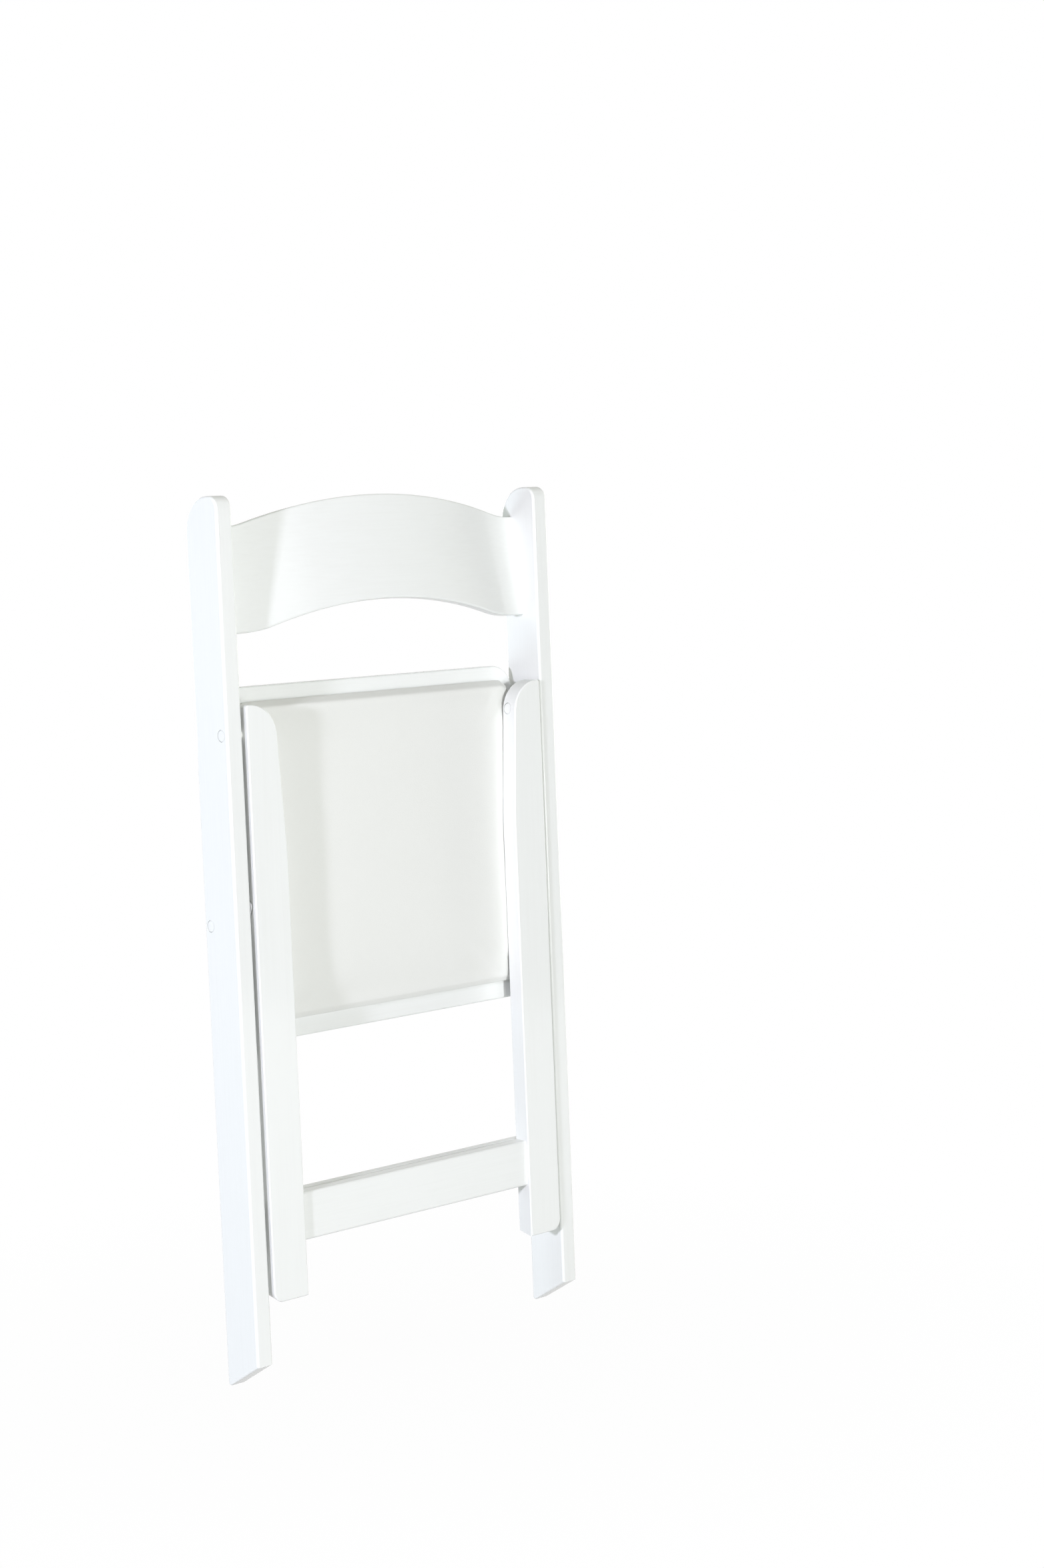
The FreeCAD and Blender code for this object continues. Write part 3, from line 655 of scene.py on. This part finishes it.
def outer_face(group, outward):
    """The middle and the slope of the end face of a solid that lies furthest along outward in X."""
    middle_y = (min(p.y for p in group) + max(p.y for p in group)) / 2
    middle_z = (min(p.z for p in group) + max(p.z for p in group)) / 2
    top = max((p for p in group if p.z > middle_z), key=lambda p: (round(p.z, 4), outward * p.x))
    bottom = min((p for p in group if p.z < middle_z), key=lambda p: (round(p.z, 4), -outward * p.x))
    facing = Vector((outward * (top.z - bottom.z), 0.0, outward * (bottom.x - top.x))).normalized()
    return Vector(((top.x + bottom.x) / 2, middle_y, middle_z)), facing


def cloud_of_places(name, places):
    """A mesh of loose points that each carry the way they face."""
    data = bpy.data.meshes.new(name)
    data.from_pydata([point for point, facing in places], [], [])
    facings = data.attributes.new("facing", "FLOAT_VECTOR", "POINT")
    for item, (point, facing) in zip(facings.data, places):
        item.vector = facing
    return shown(name, data)


post_plugs = []
for node_name in ("post_upper_plugs", "post_lower_plugs"):
    for group in solids_of(node_name):
        post_plugs.append(outer_face(group, math.copysign(1.0, group[0].x)))
leg_plugs = [outer_face(group, -math.copysign(1.0, group[0].x)) for group in solids_of("leg_inner_plugs")]
print("post plugs", len(post_plugs), "leg plugs", len(leg_plugs), "facing", leg_plugs[0][1])

# %% A tree that sets a turned shape on every place
def new_tree(name, inputs):
    """A Geometry Nodes tree with one geometry in and out and named sizes."""
    tree = bpy.data.node_groups.new(name, "GeometryNodeTree")
    tree.interface.new_socket("Geometry", in_out="INPUT", socket_type="NodeSocketGeometry")
    for size_name in inputs:
        tree.interface.new_socket(size_name, in_out="INPUT", socket_type="NodeSocketFloat")
    tree.interface.new_socket("Geometry", in_out="OUTPUT", socket_type="NodeSocketGeometry")
    start = Wire(tree)
    entry = start.make("NodeGroupInput")
    ports = {socket.name: Wire(tree, socket) for socket in entry.socket.node.outputs if socket.name}
    return tree, start, ports


def on_places(start, points, shape, material):
    """Sets a shape on each point, with its +Z along the point's facing, as one plain painted mesh."""
    facing = start.make("GeometryNodeInputNamedAttribute", {"data_type": "FLOAT_VECTOR"}, {"Name": "facing"})
    turn = start.make("FunctionNodeAlignRotationToVector", {"axis": "Z"}, {"Vector": facing})
    copies = start.make("GeometryNodeInstanceOnPoints", None,
                        {"Points": points, "Instance": shape, "Rotation": turn})
    plain = start.make("GeometryNodeRealizeInstances", None, {"Geometry": copies})
    finished = start.make("GeometryNodeSetMaterial", None, {"Geometry": plain, "Material": material})
    start.make("NodeGroupOutput", None, {"Geometry": finished})


def grown(tree, sizes, name, places):
    """Runs a tree on a cloud of places with the given sizes, and keeps the result as a plain mesh."""
    piece = cloud_of_places(name, places)
    modifier = piece.modifiers.new("grow", "NODES")
    modifier.node_group = tree
    for item in tree.interface.items_tree:
        if item.in_out == "INPUT" and item.name in sizes:
            modifier[item.identifier] = sizes[item.name]
    return settled(piece)


def round_face(start, sides, radius):
    """A flat disc that a turned shape is drawn up from."""
    return start.make("GeometryNodeMeshCircle", {"fill_type": "NGON"}, {"Vertices": sides, "Radius": radius})


def lathe_step(start, shape, top, rise, scale):
    """Draws the top face up by rise and scales it about its middle."""
    sockets = {"Mesh": shape, "Selection": top, "Offset Scale": rise, "Individual": False}
    node = start.make("GeometryNodeExtrudeMesh", {"mode": "FACES"}, sockets).socket.node
    new_top = Wire(start.tree, node.outputs["Top"])
    drawn = Wire(start.tree, node.outputs["Mesh"])
    scaled = start.make("GeometryNodeScaleElements", None,
                        {"Geometry": drawn, "Selection": new_top, "Scale": scale})
    return scaled, new_top


print("places ready")

# %% Plugs
plug_sizes = {"Radius": 0.0061, "Length": 0.0045, "Groove": 0.0009, "Dome": 0.00015}
plug_sides = 48


def plug_tree():
    """A short peg with a bevelled rim and a slightly domed face, whose top is at its own Z = 0."""
    tree, start, size = new_tree("plug", plug_sizes)
    disc = round_face(start, plug_sides, size["Radius"])
    rim = 1.0 - size["Groove"] / size["Radius"]
    shape, top = lathe_step(start, disc, True, size["Length"], 1.0)
    shape, top = lathe_step(start, shape, top, size["Groove"], rim)
    shape, top = lathe_step(start, shape, top, size["Dome"] * 0.75, 0.6)
    shape, top = lathe_step(start, shape, top, size["Dome"] * 0.25, 0.4)
    drop = start.make("ShaderNodeCombineXYZ", None,
                      {"Z": 0.0 - size["Length"] - size["Groove"] - size["Dome"]})
    placed = start.make("GeometryNodeTransform", None, {"Geometry": shape, "Translation": drop})
    smooth = start.make("GeometryNodeSetShadeSmooth", None, {"Geometry": placed, "Shade Smooth": False})
    on_places(start, size["Geometry"], smooth, post_paint)
    return tree


plug_shape = plug_tree()
for plug_name, places, body, stood_for in (
        ("post_plugs", post_plugs, "back_frame", ("post_upper_plugs", "post_lower_plugs")),
        ("leg_plugs", leg_plugs, "rear_legs", ("leg_inner_plugs",))):
    plugs = grown(plug_shape, plug_sizes, plug_name, places)
    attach(plugs, body)
    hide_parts(*stood_for)
    print(plug_name, len(plugs.data.polygons), "faces")

# %% [markdown]
# ## Pad screws
# Six countersunk screws come up through the side rails into the cushion's board. Their heads show when the
# chair stands open, so each has a real cross-shaped recess, cut once by a Mesh Boolean node before the
# copies are set.

# %% Screws
screw_sizes = {"Head": 0.0039, "Cone": 0.0023, "Shank": 0.0019, "Length": 0.022,
               "Slot": 0.0009, "Recess": 0.0011}
screw_sides = 32


def screw_tree():
    """A cross-recess screw whose flat head is at its own Z = 0 and whose shank runs down."""
    tree, start, size = new_tree("pad_screw", screw_sizes)
    disc = round_face(start, screw_sides, size["Shank"])
    shape, top = lathe_step(start, disc, True, size["Length"], 1.0)
    shape, top = lathe_step(start, shape, top, size["Cone"], size["Head"] / size["Shank"])
    shape, top = lathe_step(start, shape, top, size["Slot"] * 0.2, 1.0)
    rise = 0.0 - size["Length"] - size["Cone"] - size["Slot"] * 0.2
    drop = start.make("ShaderNodeCombineXYZ", None, {"Z": rise})
    cut = start.make("GeometryNodeTransform", None, {"Geometry": shape, "Translation": drop})
    for long_side, short_side in (("X", "Y"), ("Y", "X")):
        side = start.make("ShaderNodeCombineXYZ", None, {
            long_side: size["Head"] * 1.15, short_side: size["Slot"], "Z": size["Recess"] * 2.0})
        arm = start.make("GeometryNodeMeshCube", None, {"Size": side})
        both = {"Mesh 1": cut, "Mesh 2": arm}
        cut = start.make("GeometryNodeMeshBoolean", {"operation": "DIFFERENCE"}, both)
    on_places(start, size["Geometry"], cut, steel)
    return tree


underside = (seat_axes.to_3x3() @ Vector((0.0, 1.0, 0.0))).normalized()
screw_places = []
for group in solids_of("pad_screws"):
    head = max(group, key=lambda p: p.dot(underside)).dot(underside)
    middle = sum(group, Vector()) / len(group)
    screw_places.append((middle + underside * (head - middle.dot(underside)), underside))
screws = grown(screw_tree(), screw_sizes, "cross_screws", screw_places)
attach(screws, "seat")
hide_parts("pad_screws")
print("screws", len(screw_places), "faces", len(screws.data.polygons))

# %% [markdown]
# ## Floor, background and lamps
# The background is plain white. The world is white for the camera and for reflections but lights the chair
# much more gently, and the floor does the same while it keeps a faint shadow. The key lamp stands nearly
# straight behind the chair's back. A cooler lamp, far to the left and a little higher than the slat, makes
# the posts' outer faces the brightest and draws the shadows of the left post and leg across the slat, the
# cushion and the stretchers. Weaker lamps fill from the left, from below and from the right, and one more
# lights the sitter's side for when the chair is turned round.

# %% Floor
floor_half = 6.0
shadow_share = 0.025
shadow_reach = 0.8
floor_grey = (0.4, 0.4, 0.4, 1.0)


def unlit_rays(start):
    """1 for camera, glossy and transmission rays, which should meet plain white."""
    path = start.make("ShaderNodeLightPath").socket.node
    names = ("Is Camera Ray", "Is Glossy Ray", "Is Transmission Ray")
    rays = [Wire(start.tree, path.outputs[name]) for name in names]
    both = start.math("MAXIMUM", rays[0], rays[1])
    return start.math("MAXIMUM", both, rays[2])


def floor_finish():
    material = bpy.data.materials.new("floor_white")
    material.use_nodes = True
    material.node_tree.nodes.clear()
    start = Wire(material.node_tree)
    place = start.make("ShaderNodeTexCoord", out="Object")
    distance = start.make("ShaderNodeVectorMath", {"operation": "LENGTH"}, {0: place}, out="Value")
    keep = start.make("ShaderNodeMapRange", None, {
        "Value": distance, "From Min": 0.0, "From Max": shadow_reach, "To Min": shadow_share, "To Max": 0.0})
    lit = start.make("ShaderNodeBsdfDiffuse", None, {"Color": floor_grey})
    white = start.make("ShaderNodeEmission", None, {"Color": (1.0, 1.0, 1.0, 1.0), "Strength": 1.0})
    both = start.make("ShaderNodeMixShader", None, {0: unlit_rays(start) * (1.0 - keep), 1: lit, 2: white})
    start.make("ShaderNodeOutputMaterial", None, {"Surface": both})
    return material


floor_data = bpy.data.meshes.new("floor")
floor_signs = ((-1, -1), (1, -1), (1, 1), (-1, 1))
floor_corners = [(x * floor_half, y * floor_half, 0.0) for x, y in floor_signs]
floor_data.from_pydata(floor_corners, [], [(0, 1, 2, 3)])
floor = shown("floor", floor_data)
floor_data.materials.append(floor_finish())

# %% World
ambient = 0.24
ambient_tint = (1.0, 1.0, 0.80, 1.0)
plain_white = (1.0, 1.0, 1.0, 1.0)
world = bpy.data.worlds.new("studio")
world.use_nodes = True
world.node_tree.nodes.clear()
sky = Wire(world.node_tree)
soft_light = sky.make("ShaderNodeBackground", None, {"Color": ambient_tint, "Strength": ambient})
white_backing = sky.make("ShaderNodeBackground", None, {"Color": plain_white, "Strength": 1.0})
either = sky.make("ShaderNodeMixShader", None, {0: unlit_rays(sky), 1: soft_light, 2: white_backing})
sky.make("ShaderNodeOutputWorld", None, {"Surface": either})
bpy.context.scene.world = world

# %% Lamps
def lamp(name, azimuth, reach, height, size, watts, colour):
    """A square lamp aimed at the chair's middle. Azimuth 0 is on the cushion's side, negative is left."""
    data = bpy.data.lights.new(name, "AREA")
    data.shape = "SQUARE"
    data.size = size
    data.energy = watts
    data.color = colour
    turn = math.radians(azimuth)
    item = bpy.data.objects.new(name, data)
    item.location = (math.sin(turn) * reach, -math.cos(turn) * reach, height)
    item.rotation_mode = "QUATERNION"
    item.rotation_quaternion = (lamp_aim - item.location).to_track_quat("-Z", "Y")
    bpy.context.scene.collection.objects.link(item)


lamp_aim = Vector((0.0, 0.0, 0.42))
lamp("key_lamp", azimuth=-7.0, reach=4.4, height=1.05, size=0.42, watts=101.0,
     colour=(0.965, 0.985, 1.0))
lamp("side_lamp", azimuth=-75.0, reach=5.0, height=1.18, size=0.28, watts=136.0,
     colour=(0.88, 0.87, 1.0))
lamp("left_fill", azimuth=-100.0, reach=4.0, height=0.25, size=1.0, watts=56.0,
     colour=(0.82, 0.95, 1.0))
lamp("low_fill", azimuth=-15.0, reach=3.0, height=0.18, size=0.45, watts=16.5,
     colour=(1.0, 1.0, 0.97))
lamp("right_fill", azimuth=80.0, reach=3.2, height=0.80, size=2.4, watts=100.0,
     colour=(0.97, 1.0, 0.90))
lamp("front_fill", azimuth=165.0, reach=4.2, height=1.10, size=1.6, watts=90.0,
     colour=(0.98, 0.99, 1.0))

# %% [markdown]
# A studio shot of white paint also needs something dark to mirror, or every reflection adds the same white
# and the gloss can't be seen. A black board stands to the right of the camera, out of the picture.

# %% Dark board
board_azimuth = math.radians(50.0)
board_distance = 2.2
board_width = 2.2
board_height = 2.4


def dark_board():
    """A matt black board that only reflections and soft light meet."""
    material, start, shader = new_finish("matt_black")
    set_constants(shader, Base_Color=(0.02, 0.02, 0.02, 1.0), Roughness=0.9)
    middle = Vector((math.sin(board_azimuth), -math.cos(board_azimuth), 0.0)) * board_distance
    across = Vector((math.cos(board_azimuth), math.sin(board_azimuth), 0.0)) * (board_width / 2)
    up = Vector((0.0, 0.0, board_height))
    data = bpy.data.meshes.new("dark_board")
    data.from_pydata([middle - across, middle + across, middle + across + up, middle - across + up], [],
                     [(0, 1, 2, 3)])
    data.materials.append(material)
    item = shown("dark_board", data)
    item.visible_camera = False
    return item


dark_board()
